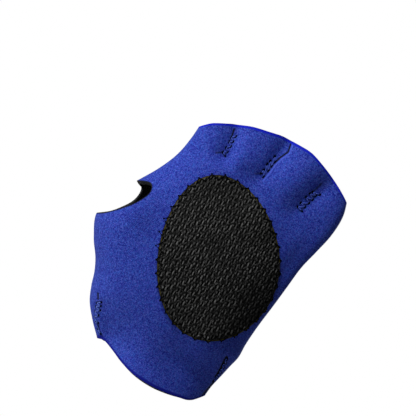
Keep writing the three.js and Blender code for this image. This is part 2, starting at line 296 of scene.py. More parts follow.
# Millimetres, as the solids have them: the two side edges, how far the sleeve stands out on the palm
# and on the back, and how square the section is
sleeveSections = [
    {"z": -80, "left": -18.0, "right": 40.2, "palm": 18.5, "back": 20.0, "square": 2.1},
    {"z": -72, "left": -25.6, "right": 40.9, "palm": 19.0, "back": 20.0, "square": 2.1},
    {"z": -66, "left": -32.6, "right": 41.1, "palm": 19.5, "back": 19.5, "square": 2.15},
    {"z": -58, "left": -40.3, "right": 41.2, "palm": 20.5, "back": 19.0, "square": 2.2},
    {"z": -50, "left": -44.8, "right": 42.3, "palm": 21.5, "back": 18.5, "square": 2.25},
    {"z": -43, "left": -47.7, "right": 43.2, "palm": 22.3, "back": 18.0, "square": 2.3},
    {"z": -36, "left": -51.9, "right": 44.2, "palm": 22.8, "back": 18.0, "square": 2.3},
    {"z": -28, "left": -58.6, "right": 43.4, "palm": 23.0, "back": 18.0, "square": 2.3},
    {"z": -16, "left": -65.2, "right": 43.2, "palm": 22.5, "back": 17.5, "square": 2.35},
    {"z": -2, "left": -63.2, "right": 43.7, "palm": 21.0, "back": 17.5, "square": 2.4},
    {"z": 11, "left": -57.4, "right": 44.0, "palm": 18.5, "back": 17.5, "square": 2.4},
    {"z": 24, "left": -51.3, "right": 44.3, "palm": 16.5, "back": 16.8, "square": 2.4},
    {"z": 36, "left": -47.4, "right": 46.1, "palm": 15.5, "back": 16.5, "square": 2.6},
    {"z": 48, "left": -46.2, "right": 47.6, "palm": 14.8, "back": 16.0, "square": 3.0},
    {"z": 60, "left": -46.4, "right": 46.9, "palm": 14.0, "back": 15.8, "square": 3.4},
    {"z": 70, "left": -45.8, "right": 43.1, "palm": 13.6, "back": 15.6, "square": 3.4},
    {"z": 80, "left": -45.0, "right": 38.0, "palm": 13.2, "back": 15.4, "square": 3.4},
]
fingerEdge = [
    {"across": -1.0, "z": 55.3},
    {"across": -0.87, "z": 61.4},
    {"across": -0.52, "z": 70.5},
    {"across": -0.25, "z": 74.5},
    {"across": -0.04, "z": 76.9},
    {"across": 0.2, "z": 78.0},
    {"across": 0.37, "z": 78.2},
    {"across": 0.55, "z": 76.4},
    {"across": 0.73, "z": 73.8},
    {"across": 0.88, "z": 70.6},
    {"across": 1.0, "z": 67.4},
]
wristEdge = [
    {"across": -1.0, "z": -72.0},
    {"across": -0.83, "z": -70.3},
    {"across": -0.7, "z": -71.3},
    {"across": -0.49, "z": -73.6},
    {"across": -0.23, "z": -74.8},
    {"across": 0.13, "z": -74.4},
    {"across": 0.4, "z": -73.2},
    {"across": 0.65, "z": -71.6},
    {"across": 0.85, "z": -69.5},
    {"across": 1.0, "z": -63.9},
]
# The sewn columns between the finger mouths. Each one pulls in a valley, which runs out below low by
# fade and keeps the share rimDepth of its depth at the edge above.
fingerTacks = [
    {"top": (-28.3, 63.0), "low": (-25.4, 50.3), "valley": 6.3, "rimDepth": 0.83, "fade": 9},
    {"top": (-1.7, 66.2), "low": (-2.1, 52.5), "valley": 5.2, "rimDepth": 0.76, "fade": 12},
    {"top": (28.8, 63.0), "low": (25.7, 49.2), "valley": 6.7, "rimDepth": 0.69, "fade": 13},
]
# Soft swellings and hollows of the worn cloth, on the palm, side -1, and on the back, side 1
softMounds = [
    {"side": -1, "x": -53, "z": 0, "height": 6, "radiusX": 13.5, "radiusZ": 16},  # beside the thumb hole
    {"side": -1, "x": 28, "z": -34, "height": 3.8, "radiusX": 12, "radiusZ": 19},
    {"side": -1, "x": -19, "z": -68, "height": -6, "radiusX": 14.5, "radiusZ": 17.5},
    {"side": -1, "x": 28, "z": -53.5, "height": -5.2, "radiusX": 24, "radiusZ": 12},
    {"side": -1, "x": 7, "z": -76, "height": 4.1, "radiusX": 26, "radiusZ": 5.7},  # flare of the wrist edge
    {"side": -1, "x": 39.5, "z": 15, "height": -4, "radiusX": 6.2, "radiusZ": 27},
    {"side": -1, "x": -36, "z": 34, "height": 1.6, "radiusX": 13, "radiusZ": 13},  # pads under the mouths
    {"side": -1, "x": -22, "z": 48, "height": 3.8, "radiusX": 9, "radiusZ": 11},
    {"side": -1, "x": 17, "z": 58, "height": 3.3, "radiusX": 12, "radiusZ": 25},
    {"side": -1, "x": -5, "z": 44.5, "height": -3.1, "radiusX": 32, "radiusZ": 9.6},
    {"side": -1, "x": 26, "z": 43, "height": -4.9, "radiusX": 16, "radiusZ": 21},
    {"side": 1, "x": -34, "z": 34, "height": 1.5, "radiusX": 8, "radiusZ": 12},
    {"side": 1, "x": -12, "z": 38, "height": 2.0, "radiusX": 8, "radiusZ": 12},
    {"side": 1, "x": 12, "z": 36, "height": 1.7, "radiusX": 8, "radiusZ": 12},
    {"side": 1, "x": 33, "z": 30, "height": 1.3, "radiusX": 8, "radiusZ": 12},
]
# Creases that the worn cloth takes, each along a line in the palm's plane. depth and width are its
# hollow's. Its bottom gets painted shade, as dark as tone says out to core, fading away by fade.
creases = [
    {"line": [(-0.9, 62.7), (-0.2, 66.4), (1.6, 71.5), (0.9, 74.0), (-0.4, 77.8)],
     "depth": 1.7, "width": 0.85, "core": 0.2, "fade": 0.65, "tone": 1.0},
    {"line": [(-1.6, 51.8), (-1.2, 57.4), (-0.9, 62.7)],
     "depth": 1.4, "width": 0.85, "core": 0.05, "fade": 0.6, "tone": 0.6},
    {"line": [(-29.6, 64.9), (-28.6, 61.6)],
     "depth": 1.2, "width": 0.9, "core": 0.2, "fade": 0.75, "tone": 1.0},
    {"line": [(-27.3, 51.1), (-30.2, 48.6)],
     "depth": 0.7, "width": 0.8, "core": 0.1, "fade": 0.8, "tone": 0.75},
    {"line": [(-3.7, 53.7), (-6.0, 51.6)],
     "depth": 0.5, "width": 0.8, "core": 0.1, "fade": 0.9, "tone": 0.6},
    {"line": [(26.4, 67.6), (25.7, 63.6), (25.0, 61.4)],
     "depth": 0.9, "width": 0.9, "core": 0.1, "fade": 1.0, "tone": 0.7},
    {"line": [(-29.3, -64.7), (-27.0, -67.2), (-23.4, -69.0)],
     "depth": 1.0, "width": 0.9, "core": 0.1, "fade": 0.7, "tone": 0.6},
    {"line": [(-39.0, -50.8), (-37.2, -53.2)],
     "depth": 0.5, "width": 0.8, "core": 0.22, "fade": 0.7, "tone": 1.0},
    {"line": [(-36.9, -55.6), (-36.3, -54.6), (-34.4, -53.5)],
     "depth": 0.4, "width": 0.7, "core": 0.12, "fade": 0.6, "tone": 0.9},
    {"line": [(38.1, -38.9), (38.2, -41.0), (39.3, -46.5), (39.7, -51.3)],
     "depth": 1.3, "width": 0.7, "core": 0.4, "fade": 0.85, "tone": 1.0},
    {"line": [(40.6, -54.6), (40.2, -59.3), (39.8, -64.0)],
     "depth": 0.9, "width": 0.7, "core": 0.35, "fade": 0.9, "tone": 0.9},
    {"line": [(-30.5, -56.0), (-21.0, -66.0)],
     "depth": 1.5, "width": 4.5, "core": 0.0, "fade": 0.0, "tone": 0.0},
]
sleeve = {
    "wall": 2.2, "pinchGap": 0.3, "pinchLevel": -6.5, "valleyShoulder": 1.08, "valleyRunOut": 0.5,
    "backValley": 0.66, "stepsAround": 300, "stepsAlong": 148, "fingerRimSetback": 2.2,
    "wristRimSetback": 4.0, "rimFade": 12, "tackCrowding": 0.45, "crowdingReach": 0.2,
    "creaseFullness": 3, "edgeRound": 0.5,
}


def sectionAt(z, *columns):
    return [readTable(sleeveSections, "z", column, z) for column in columns]


def cleft(distance, width):
    return (1 + (distance / width) ** 2) ** -sleeve["valleyShoulder"]


def tackLine(tack, z):
    (topX, topZ), (lowX, lowZ) = tack["top"], tack["low"]
    return lowX + (topX - lowX) * (z - lowZ) / (topZ - lowZ)


def valleyDepth(x, z, side):
    opened = np.ones_like(x)
    for tack in fingerTacks:
        below = smoothStep(z, tack["low"][1] - tack["fade"], tack["low"][1])
        above = 1 - (1 - tack["rimDepth"]) * smoothStep(z, tack["top"][1], tack["top"][1] + sleeve["rimFade"])
        width = tack["valley"] * (1 + sleeve["valleyRunOut"] * (1 - below))
        width = width * np.where(side > 0, sleeve["backValley"], 1.0)
        opened = opened * (1 - below * above * cleft(x - tackLine(tack, z), width))
    return 1 - opened


# A point of the outer face. around is 0 at the thumb hole's side edge and pi at the other one,
# positive over the palm and negative, or over pi, on the back.
def facePoint(around, z):
    around, z = np.broadcast_arrays(np.asarray(around, float), np.asarray(z, float))
    left, right, palm, back, square = sectionAt(z, "left", "right", "palm", "back", "square")
    side = np.where(np.sin(around) >= 0, -1.0, 1.0)
    across = -np.cos(around)
    fullness = np.maximum(1 - np.abs(across) ** square, 0) ** (1 / square)
    x = (left + right) / 2 + across * (right - left) / 2
    depth = np.where(side < 0, palm, back) * fullness
    for mound in softMounds:
        lift = bell(x - mound["x"], mound["radiusX"]) * bell(z - mound["z"], mound["radiusZ"])
        depth = depth + np.where(side == mound["side"], mound["height"] * fullness * lift, 0)
    for crease in creases:
        dip = crease["depth"] * bell(nearestOnLine(x, z, crease["line"])[0], crease["width"])
        depth = depth - np.where(side < 0, dip * np.minimum(fullness * sleeve["creaseFullness"], 1), 0)
    valley = valleyDepth(x, z, side)
    pinched = (side * (sleeve["wall"] + sleeve["pinchGap"] / 2) + sleeve["pinchLevel"]) * fullness
    return np.stack([x, side * depth * (1 - valley) + pinched * valley, z], axis=-1)


def outward(around, z):
    turn, rise = 0.012, 0.5
    alongLoop = facePoint(around + turn, z) - facePoint(around - turn, z)
    alongSleeve = facePoint(around, z + rise) - facePoint(around, z - rise)
    normal = np.cross(alongLoop, alongSleeve)
    return normal / np.maximum(np.linalg.norm(normal, axis=-1, keepdims=True), 1e-9)


def aroundAt(x, z, side=-1):
    left, right = sectionAt(z, "left", "right")
    seen = np.arccos(np.clip((left + right - 2 * np.asarray(x, float)) / (right - left), -1, 1))
    return seen * -side


def onSleeve(x, z, side=-1, raised=0.0):
    around = aroundAt(x, z, side)
    lift = np.asarray(raised, float)
    lift = lift[..., None] if lift.ndim else lift
    return facePoint(around, z) + outward(around, z) * lift


def heightAt(around, fraction):
    across = -np.cos(around)
    behind = np.maximum(-np.sin(around), 0)
    low = readTable(wristEdge, "across", "z", across) + sleeve["wristRimSetback"] * behind
    high = readTable(fingerEdge, "across", "z", across) - sleeve["fingerRimSetback"] * behind
    return low + (high - low) * fraction


# Grid steps drawn in towards the sewn columns, so that the valleys get the finest faces
def settleAround(around, z):
    front = np.sin(around) >= 0
    seen = np.where(front, around, -around)
    seen = np.where(seen < -math.pi / 2, seen + 2 * math.pi, seen)
    moved = seen.copy()
    for tack in fingerTacks:
        level = np.maximum(z, tack["low"][1] - tack["fade"] / 2)
        line = aroundAt(tackLine(tack, level), level)
        moved -= sleeve["tackCrowding"] * (seen - line) * bell(seen - line, sleeve["crowdingReach"])
    shifted = moved - seen
    return around + np.where(front, shifted, -shifted)


# Sewn columns and darts

seamSewing = {
    "radius": 0.25, "lift": 0.3, "sink": 0.5, "arch": 0.5, "parts": 8, "holeRise": 0.3,
    "dip": 0.4, "dipRadius": 0.75, "shade": 0.6, "shadeRadius": 0.7,
}
# Each seam is a ladder of stitches between a left and a right row of needle holes
seams = [
    {"thread": "blueThread", "sides": (-1, 1), "leftHole": 0.46, "rightHole": 0.34, "slit": 0.75,
     "left": [(-28.3, 60.4), (-27.8, 57.8), (-27.4, 54.2), (-27.3, 51.1), (-25.4, 50.2)],
     "right": [(-26.5, 62.2), (-26.1, 59.0), (-25.6, 56.1), (-25.4, 52.6)]},
    {"thread": "blueThread", "sides": (-1, 1), "leftHole": 0.5, "rightHole": 0.4, "slit": 0.8,
     "left": [(-2.9, 65.3), (-3.5, 62.0), (-3.9, 59.6), (-3.6, 55.9), (-3.7, 53.7)],
     "right": [(-1.0, 63.2), (-1.2, 60.2), (-1.3, 57.1), (-1.6, 52.9)]},
    {"thread": "blueThread", "sides": (-1, 1), "leftHole": 0.5, "rightHole": 0.48, "slit": 0.7,
     "left": [(25.1, 61.4), (24.4, 59.8), (23.6, 57.0), (23.2, 52.8), (23.1, 50.1), (26.2, 49.6)],
     "right": [(29.1, 62.4), (27.7, 60.5), (27.5, 58.0), (27.0, 55.2), (26.4, 52.3)]},
    # the thumb-side dart, sewn with the lighter thread that carries a painted highlight
    {"thread": "paleThread", "sides": (-1,), "leftHole": 0.4, "rightHole": 0.52, "slit": 0.45,
     "left": [(-36.3, -55.5), (-35.9, -57.5), (-34.8, -60.0), (-33.2, -62.8), (-31.1, -64.7),
              (-28.1, -67.4)],
     "right": [(-34.8, -53.7), (-33.8, -55.5), (-32.8, -57.7), (-31.9, -60.6), (-29.8, -64.3),
               (-25.2, -68.4)]},
    {"thread": "blueThread", "sides": (-1,), "leftHole": 0.35, "rightHole": 0.36, "slit": 0.8,
     "left": [(38.2, -40.5), (38.8, -43.8), (39.4, -47.2), (39.7, -50.6), (40.0, -54.2)],
     "right": [(39.1, -39.8), (40.0, -42.3), (40.5, -45.2), (40.9, -48.4), (40.8, -51.5)]},
]


# The holes of a seam, right and left in turn: place, radius, and the way along its row
def seamHoles(seam):
    holes = []
    for i in range(max(len(seam["left"]), len(seam["right"]))):
        for row, size in (("right", "rightHole"), ("left", "leftHole")):
            if i < len(seam[row]):
                ways = np.gradient(np.array(seam[row], float), axis=0)
                holes.append((*seam[row][i], seam[size], ways[i] / np.linalg.norm(ways[i])))
    return holes


# Sleeve

# The thumb hole's rim on the palm, side -1, and on the back, side 1
thumbHole = {
    -1: [(-57.3, 11.2), (-50.8, 14.4), (-48.2, 13.2), (-47.4, 10.0), (-48.4, 6.0),
         (-51.0, 0.5), (-54.5, -4.6), (-58.0, -9.0), (-61.7, -13.0), (-65.6, -15.9)],
    1: [(-57.3, 11.2), (-53.6, 9.6), (-52.6, 5.5), (-53.4, 0.5), (-56.2, -5.0),
        (-60.0, -10.6), (-65.6, -15.9)],
}
# The cut: its rim is looked for within turnReach round the sleeve and heightReach of z 0, and rings of
# corners beside it are smoothed in passes. Past gapReach round the sleeve the rim counts as farGap away.
thumbCut = {"turnReach": 1.3, "heightReach": 30, "rings": 4, "passes": 12, "gapReach": 1.6, "farGap": 9.0}
# The fold's far edge beside the middle crease, painted lighter: a painted highlight where the light catches
# the fold
litFold = {
    "line": [(-0.5, 50.6), (-0.1, 57.3), (0.2, 62.4), (0.9, 66.0), (2.7, 71.3), (1.9, 74.3), (0.7, 77.8)],
    "core": 0.1, "fade": 0.6, "tone": 0.6,
}
# The rims' lines and the spacings are in millimetres, the sizes of grain to cloud and of bumps in metres
jersey = {
    "deep": (0.003, 0.009, 0.27, 1), "violet": (0.058, 0.086, 0.58, 1), "teal": (0.034, 0.112, 0.60, 1),
    # Painted colours: crease is painted shade for creases and needle holes, the next one a painted highlight
    # along the middle fold's far edge
    "fibre": (0.115, 0.165, 0.70, 1), "crease": (0.0008, 0.001, 0.006, 1), "paintedFoldHighlight": (0.09, 0.15, 0.80, 1),
    "fingerRim": (0.0008, 0.010, 0.56, 1), "wristRim": (0.0006, 0.004, 0.28, 1),
    "cutRim": (0.001, 0.001, 0.006, 1), "rimLine": (1.75, 1.2), "cutLine": (0.75, 0.3),
    "grain": 0.00065, "fleck": 0.0007, "speck": 0.0007, "tint": 0.0011, "cloud": 0.012,
    "grainTone": 0.55, "fleckTone": 0.62, "speckTone": 0.45, "cloudTone": 0.05, "loopTone": 0.05,
    "grainSpread": (0.4, 0.6), "cloudSpread": (0.3, 0.7), "tintSpread": (0.38, 0.62),
    "speckSpread": (0.58, 0.7), "toneDrop": 0.14, "waleSpacing": 0.95, "courseSpacing": 0.8,
    "courseSwing": 0.8,
    "roughness": 0.8, "sheen": 0.12, "sheenTint": (0.4, 0.55, 1.0, 1), "specular": 0.2,
    "bumpStrength": 0.35, "bumpDistance": 0.0004,
}


def makeJersey():
    f = Finish(bpy.data.materials.new("blueJersey"))
    where = f.place()
    grain = f.noise(where, jersey["grain"], 1.0, 0.6)
    tint = f.noise(where, jersey["tint"], 1.0)
    cloud = f.noise(where, jersey["cloud"], 2.0)
    speck = f.noise(where, jersey["speck"], 0.0)
    across = f.attribute("weaveAcross") * (2 * math.pi / jersey["waleSpacing"])
    wale = across.math("SINE")
    along = f.attribute("weaveAlong") * (2 * math.pi / jersey["courseSpacing"])
    course = (along + wale * jersey["courseSwing"]).math("SINE")
    loops = wale * 0.5 + course * 0.5
    flecks = f.fleck(where, jersey["fleck"])
    tone = f.band(grain, *jersey["grainSpread"]) * jersey["grainTone"] + flecks * jersey["fleckTone"]
    tone = tone + f.band(cloud, *jersey["cloudSpread"]) * jersey["cloudTone"] + loops * jersey["loopTone"]
    tone = tone - jersey["toneDrop"]
    bright = f.blend(f.band(tint, *jersey["tintSpread"]), jersey["violet"], jersey["teal"])
    shade = f.blend(tone, jersey["deep"], bright)
    shade = f.blend(f.band(speck, *jersey["speckSpread"]) * jersey["speckTone"], shade, jersey["fibre"])

    x = f.add("ShaderNodeSeparateXYZ", {}, {0: where}, "X") * (1 / millimetre)
    z = f.add("ShaderNodeSeparateXYZ", {}, {0: where}, "Z") * (1 / millimetre)
    onPalm = f.attribute("onPalm")
    # painted highlight: the jersey is lightened along the fold's far edge beside the middle crease
    paintedFoldHighlight = f.band(f.lineGap(x, z, litFold["line"]), litFold["fade"], litFold["core"]) * litFold["tone"]
    shade = f.blend(paintedFoldHighlight * onPalm, shade, jersey["paintedFoldHighlight"])
    # painted shade: the jersey is darkened round the needle holes and along the creases' bottoms
    dark = f.attribute("holeShade")
    for crease in creases:
        if crease["tone"] > 0:
            gap = f.lineGap(x, z, crease["line"])
            folded = f.band(gap, crease["fade"], crease["core"], 0.0, crease["tone"])
            dark = dark.math("MAXIMUM", folded * onPalm)
    shade = f.blend(dark, shade, jersey["crease"])
    rims = (("fingerRimGap", "rimLine", "fingerRim"), ("wristRimGap", "rimLine", "wristRim"),
            ("thumbRimGap", "cutLine", "cutRim"))
    for name, line, colour in rims:
        shade = f.blend(f.band(f.attribute(name), *jersey[line]), shade, jersey[colour])
    normal = f.bump(grain * 0.7 + loops * 0.3, jersey["bumpStrength"], jersey["bumpDistance"])
    return f.surface(Base_Color=shade, Roughness=jersey["roughness"], Normal=normal,
                     Sheen_Weight=jersey["sheen"], Sheen_Roughness=0.5, Sheen_Tint=jersey["sheenTint"],
                     Specular_IOR_Level=jersey["specular"])


# Whether a place lies between the rim and the sleeve's side edge
def insideHole(x, z, line):
    reach = 30.0
    loop = np.vstack([[line[0][0] - reach, line[0][1]], line, [line[-1][0] - reach, line[-1][1]]])
    inside = np.zeros(len(x), bool)
    for (x0, z0), (x1, z1) in zip(loop, np.roll(loop, -1, axis=0)):
        crosses = (z0 > z) != (z1 > z)
        where = x0 + (x1 - x0) * (z - z0) / np.where(z1 == z0, 1e-9, z1 - z0)
        inside ^= crosses & (x < where)
    return inside


# Selects the faces that the thumb hole takes away and draws the corners beside it to its rim
def cutThumbHole(piece, around, z):
    rims = {side: catmullRom(points) for side, points in thumbHole.items()}
    mesh = piece.data
    near = np.abs(around) < thumbCut["turnReach"]
    faceCorners = np.array([list(polygon.vertices) for polygon in mesh.polygons])
    middleAround = around[faceCorners].mean(1)
    middleZ = z[faceCorners].mean(1)
    middle = facePoint(middleAround, middleZ)
    gone = np.zeros(len(faceCorners), bool)
    for s, rim in rims.items():
        mine = (np.where(middleAround >= 0, -1, 1) == s) & (np.abs(middleAround) < thumbCut["turnReach"])
        gone[mine] = insideHole(middle[mine, 0], middle[mine, 2], rim)
    links = {}
    edgeUse = {}
    for corners in faceCorners[~gone]:
        for a, b in zip(corners, np.roll(corners, -1)):
            edgeUse[(min(a, b), max(a, b))] = edgeUse.get((min(a, b), max(a, b)), 0) + 1
            links.setdefault(a, set()).add(b)
            links.setdefault(b, set()).add(a)
    rimLinks = {}
    for (a, b), uses in edgeUse.items():
        if uses == 1 and near[a] and near[b] and abs(z[a]) < thumbCut["heightReach"]:
            rimLinks.setdefault(a, []).append(b)
            rimLinks.setdefault(b, []).append(a)

    def snap(indices):
        for s, rim in rims.items():
            mine = np.array([i for i in indices if (around[i] >= 0) == (s < 0)])
            if len(mine) == 0:
                continue
            spot = facePoint(around[mine], z[mine])
            _, rimX, rimZ = nearestOnLine(spot[:, 0], spot[:, 2], rim)
            z[mine] = rimZ
            around[mine] = aroundAt(rimX, rimZ, s)

    rimIndices = list(rimLinks)
    ring = set(rimIndices)
    rings = []
    known = set(rimIndices)
    for _ in range(thumbCut["rings"]):
        ring = {n for i in ring for n in links[i]} - known
        known |= ring
        rings.append(sorted(ring))
    inner = [i for ring in rings for i in ring]
    snap(rimIndices)
    for _ in range(thumbCut["passes"]):
        moved = {i: np.mean([(around[n], z[n]) for n in rimLinks[i]], axis=0) for i in rimIndices}
        for i, (a, h) in moved.items():
            around[i] = (around[i] + a) / 2
            z[i] = (z[i] + h) / 2
        snap(rimIndices)
        moved = {i: np.mean([(around[n], z[n]) for n in links[i]], axis=0) for i in inner}
        for i, (a, h) in moved.items():
            around[i], z[i] = a, h
    for polygon, away in zip(mesh.polygons, gone):
        polygon.select = bool(away)
    return around, z


def makeSleeve():
    piece = addGrid("gloveSleeve", sleeve["stepsAround"], sleeve["stepsAlong"])
    sheet = readCorners(piece)
    even = -math.pi / 2 + (sheet[:, 0] + 1) * math.pi     # the blank closes down the back's middle
    fraction = (sheet[:, 1] + 1) / 2
    z = heightAt(even, fraction)
    around = settleAround(even, z)
    z = heightAt(around, fraction)
    column = np.rint((sheet[:, 0] + 1) / 2 * sleeve["stepsAround"]).astype(int)
    row = np.rint(fraction * sleeve["stepsAlong"]).astype(int)

    selectNoCorners(piece)
    around, z = cutThumbHole(piece, around, z)
    corners = facePoint(around, z)
    normals = outward(around, z)

    shape = (sleeve["stepsAlong"] + 1, sleeve["stepsAround"] + 1)
    table = np.zeros((*shape, 3))
    table[row, column] = corners
    stepLengths = np.linalg.norm(np.diff(table, axis=1), axis=2)
    lengths = np.concatenate([np.zeros((shape[0], 1)), np.cumsum(stepLengths, axis=1)], axis=1)
    lengths -= lengths[:, shape[1] // 2][:, None]

    onPalm = np.sin(around) >= 0
    dips = np.zeros(len(corners))
    shades = np.zeros(len(corners))
    # dips pull the cloth in at the needle holes, and shades hold the painted shade round them
    for seam in seams:
        facing = np.isin(np.where(onPalm, -1, 1), seam["sides"])
        for holeX, holeZ, _, _ in seamHoles(seam):
            reach = np.hypot(corners[:, 0] - holeX, corners[:, 2] - holeZ)
            dips = np.maximum(dips, bell(reach, seamSewing["dipRadius"]) * facing)
            shades = np.maximum(shades, bell(reach, seamSewing["shadeRadius"]) * facing)
    corners = corners - normals * (seamSewing["dip"] * dips)[:, None]
    rimHeight = heightAt(around, 1.0) - heightAt(around, 0.0)
    thumbGap = np.full(len(corners), thumbCut["farGap"])
    for side, points in thumbHole.items():
        mine = (onPalm == (side < 0)) & (np.abs(around) < thumbCut["gapReach"])
        thumbGap[mine] = nearestOnLine(corners[mine, 0], corners[mine, 2], catmullRom(points))[0]

    writeCorners(piece, corners * millimetre)
    attributes = {
        "weaveAcross": lengths[row, column], "weaveAlong": z, "onPalm": onPalm,
        "holeShade": shades * seamSewing["shade"], "fingerRimGap": (1 - fraction) * rimHeight,
        "wristRimGap": fraction * rimHeight, "thumbRimGap": thumbGap,
    }
    for name, values in attributes.items():
        addFloatAttribute(piece, name, values)

    selectOnly(piece)
    bpy.ops.object.mode_set(mode="EDIT")
    bpy.ops.mesh.select_mode(type="FACE")
    bpy.ops.mesh.delete(type="FACE")
    bpy.ops.mesh.select_all(action="SELECT")
    bpy.ops.mesh.remove_doubles(threshold=1e-6)
    bpy.ops.object.mode_set(mode="OBJECT")
    for name in ("blueJersey", "blackLining", "cutFoam"):
        piece.data.materials.append(finishes[name])
    applyModifier(piece, "SOLIDIFY", thickness=sleeve["wall"] * millimetre, offset=-1,
                  material_offset=1, material_offset_rim=2, use_quality_normals=True)

    # the wall's two rims are rounded: the edges where cut foam meets the jersey or the lining
    mesh = piece.data
    kinds = {}
    for polygon in mesh.polygons:
        for key in polygon.edge_keys:
            kinds.setdefault(key, set()).add(polygon.material_index)
    selectNoCorners(piece)
    for edge in mesh.edges:
        edge.select = kinds[edge.key] in ({0, 2}, {1, 2})
    bpy.ops.object.mode_set(mode="EDIT")
    bpy.ops.mesh.select_mode(type="EDGE")
    bpy.ops.mesh.bevel(offset=sleeve["edgeRound"] * millimetre, segments=2, affect="EDGES",
                       clamp_overlap=True)
    bpy.ops.object.mode_set(mode="OBJECT")
    smoothShade(piece, degrees=50)
    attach(piece, "root")
    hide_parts("neoprene_sleeve")
    return piece


finishes["blueJersey"] = makeJersey()
gloveSleeve = makeSleeve()
print("sleeve made:", len(gloveSleeve.data.polygons), "faces")


# Grip patch

patch = {
    "x": 3.8, "z": 2.8, "halfWidth": 33.1, "halfLength": 44.7, "tilt": 32.4, "egg": -0.093,
    "lopsided": -0.093, "seat": 0.1, "thickness": 1.15, "steps": 290, "undersideSteps": 58,
    "edgeDrop": 0.25, "edgeRound": 0.8, "edgeSlope": 0.5,
}
# The moulded pattern: one cell is repeated by step, the way to the next rib, and by run, the way
# along a rib. Its marks are raised or sunk ovals that lie along the ribs.
weave = {
    "step": (2.083, 2.528), "run": (0.7535, -4.698), "wander": 0.3, "unevenness": 0.45, "seed": 7,
    "tableSize": 64, "roundness": 0.7, "fadeIn": 1.0,
    "quiet": {"at": (37.0, -14.0), "radius": 15.0, "share": 0.6},
}
weaveMarks = [
    {"name": "slot", "at": (0.0, 0.0), "halfWidth": 0.42, "halfLength": 1.5, "height": -0.5},
    {"name": "eye", "at": (1.67, 0.40), "halfWidth": 0.52, "halfLength": 0.6, "height": -0.45},
    {"name": "ridge", "at": (0.85, 0.13), "halfWidth": 0.42, "halfLength": 1.55, "height": 0.3},
    {"name": "bead", "at": (-0.80, -0.19), "halfWidth": 0.45, "halfLength": 0.75, "height": 0.2},
]
# The zigzag round the patch: its holes lie outside and inside the rubber's edge in turn, and further
# out within leftSpread of leftWay. Each inner hole sits in an eyelet that the thread pulls in.
patchSewing = {
    "count": 34, "outside": 0.6, "inside": 2.8, "leftOutside": 1.65, "leftWay": (-0.985, -0.17),
    "leftSpread": (0.91, 0.96), "radius": 0.28, "lift": 0.16, "sink": 0.5, "clothLift": -0.14,
    "overEdge": (-0.5, 0.4), "arch": 0.4, "parts": 16,
    "holeRadius": 0.52, "holeRise": 0.28, "slit": 0.42,
    "eyelet": 1.25, "eyeletWidth": 0.4, "eyeletDip": 0.4, "eyeletRise": 0.2, "eyeletPit": 0.75,
}
# speckAcross and speckAlong are in millimetres, the sizes of grain to rubbing and of bumps in metres
gripRubber = {
    # sunk is a painted shade colour for the pattern's sunk marks
    "sunk": (0.0004, 0.0004, 0.0004, 1), "dark": (0.0012, 0.0012, 0.0012, 1), "light": (0.15, 0.15, 0.147, 1),
    "olive": (0.085, 0.07, 0.004, 1), "roughness": 0.62, "sunkRoughness": 0.95, "specular": 0.1,
    "speckAcross": 0.62, "speckAlong": 1.35, "grain": 0.0006, "fleck": 0.0009, "rubbing": 0.0025,
    "raisedHighlightTone": 0.5, "speckTone": 0.42, "grainTone": 0.05, "eyeletHighlightTone": 0.16, "edgeTone": 0.1,
    "grainSpread": (0.4, 0.7), "speckSpread": (0.52, 0.64), "rubbedSpread": (0.36, 0.52),
    "fleckGain": 1.3, "fleckBase": 0.35, "bumpStrength": 0.35, "bumpDistance": 0.0003,
}


# The weave's cell: its area, and its length along a rib
def weaveCell():
    stepX, stepZ = weave["step"]
    runX, runZ = weave["run"]
    return stepX * runZ - stepZ * runX, math.hypot(runX, runZ)


# A place in the weave's own skewed steps: u counts ribs and v counts marks along a rib
def weaveSteps(x, z):
    stepX, stepZ = weave["step"]
    runX, runZ = weave["run"]
    area, _ = weaveCell()
    return (x * runZ - z * runX) / area, (stepX * z - stepZ * x) / area


# How far inside a mark a place is: 1 at its middle, 0 at its rim. Takes arrays or shader wires.
def insideMark(u, v, mark, offCentre):
    stepX, stepZ = weave["step"]
    runX, runZ = weave["run"]
    area, runLength = weaveCell()
    markU, markV = weaveSteps(*mark["at"])
    nearU = offCentre(u - markU)
    nearV = offCentre(v - markV)
    beside = nearU * (area / runLength)
    along = nearU * ((stepX * runX + stepZ * runZ) / runLength) + nearV * runLength
    return 1 - beside * beside * mark["halfWidth"] ** -2 - along * along * mark["halfLength"] ** -2


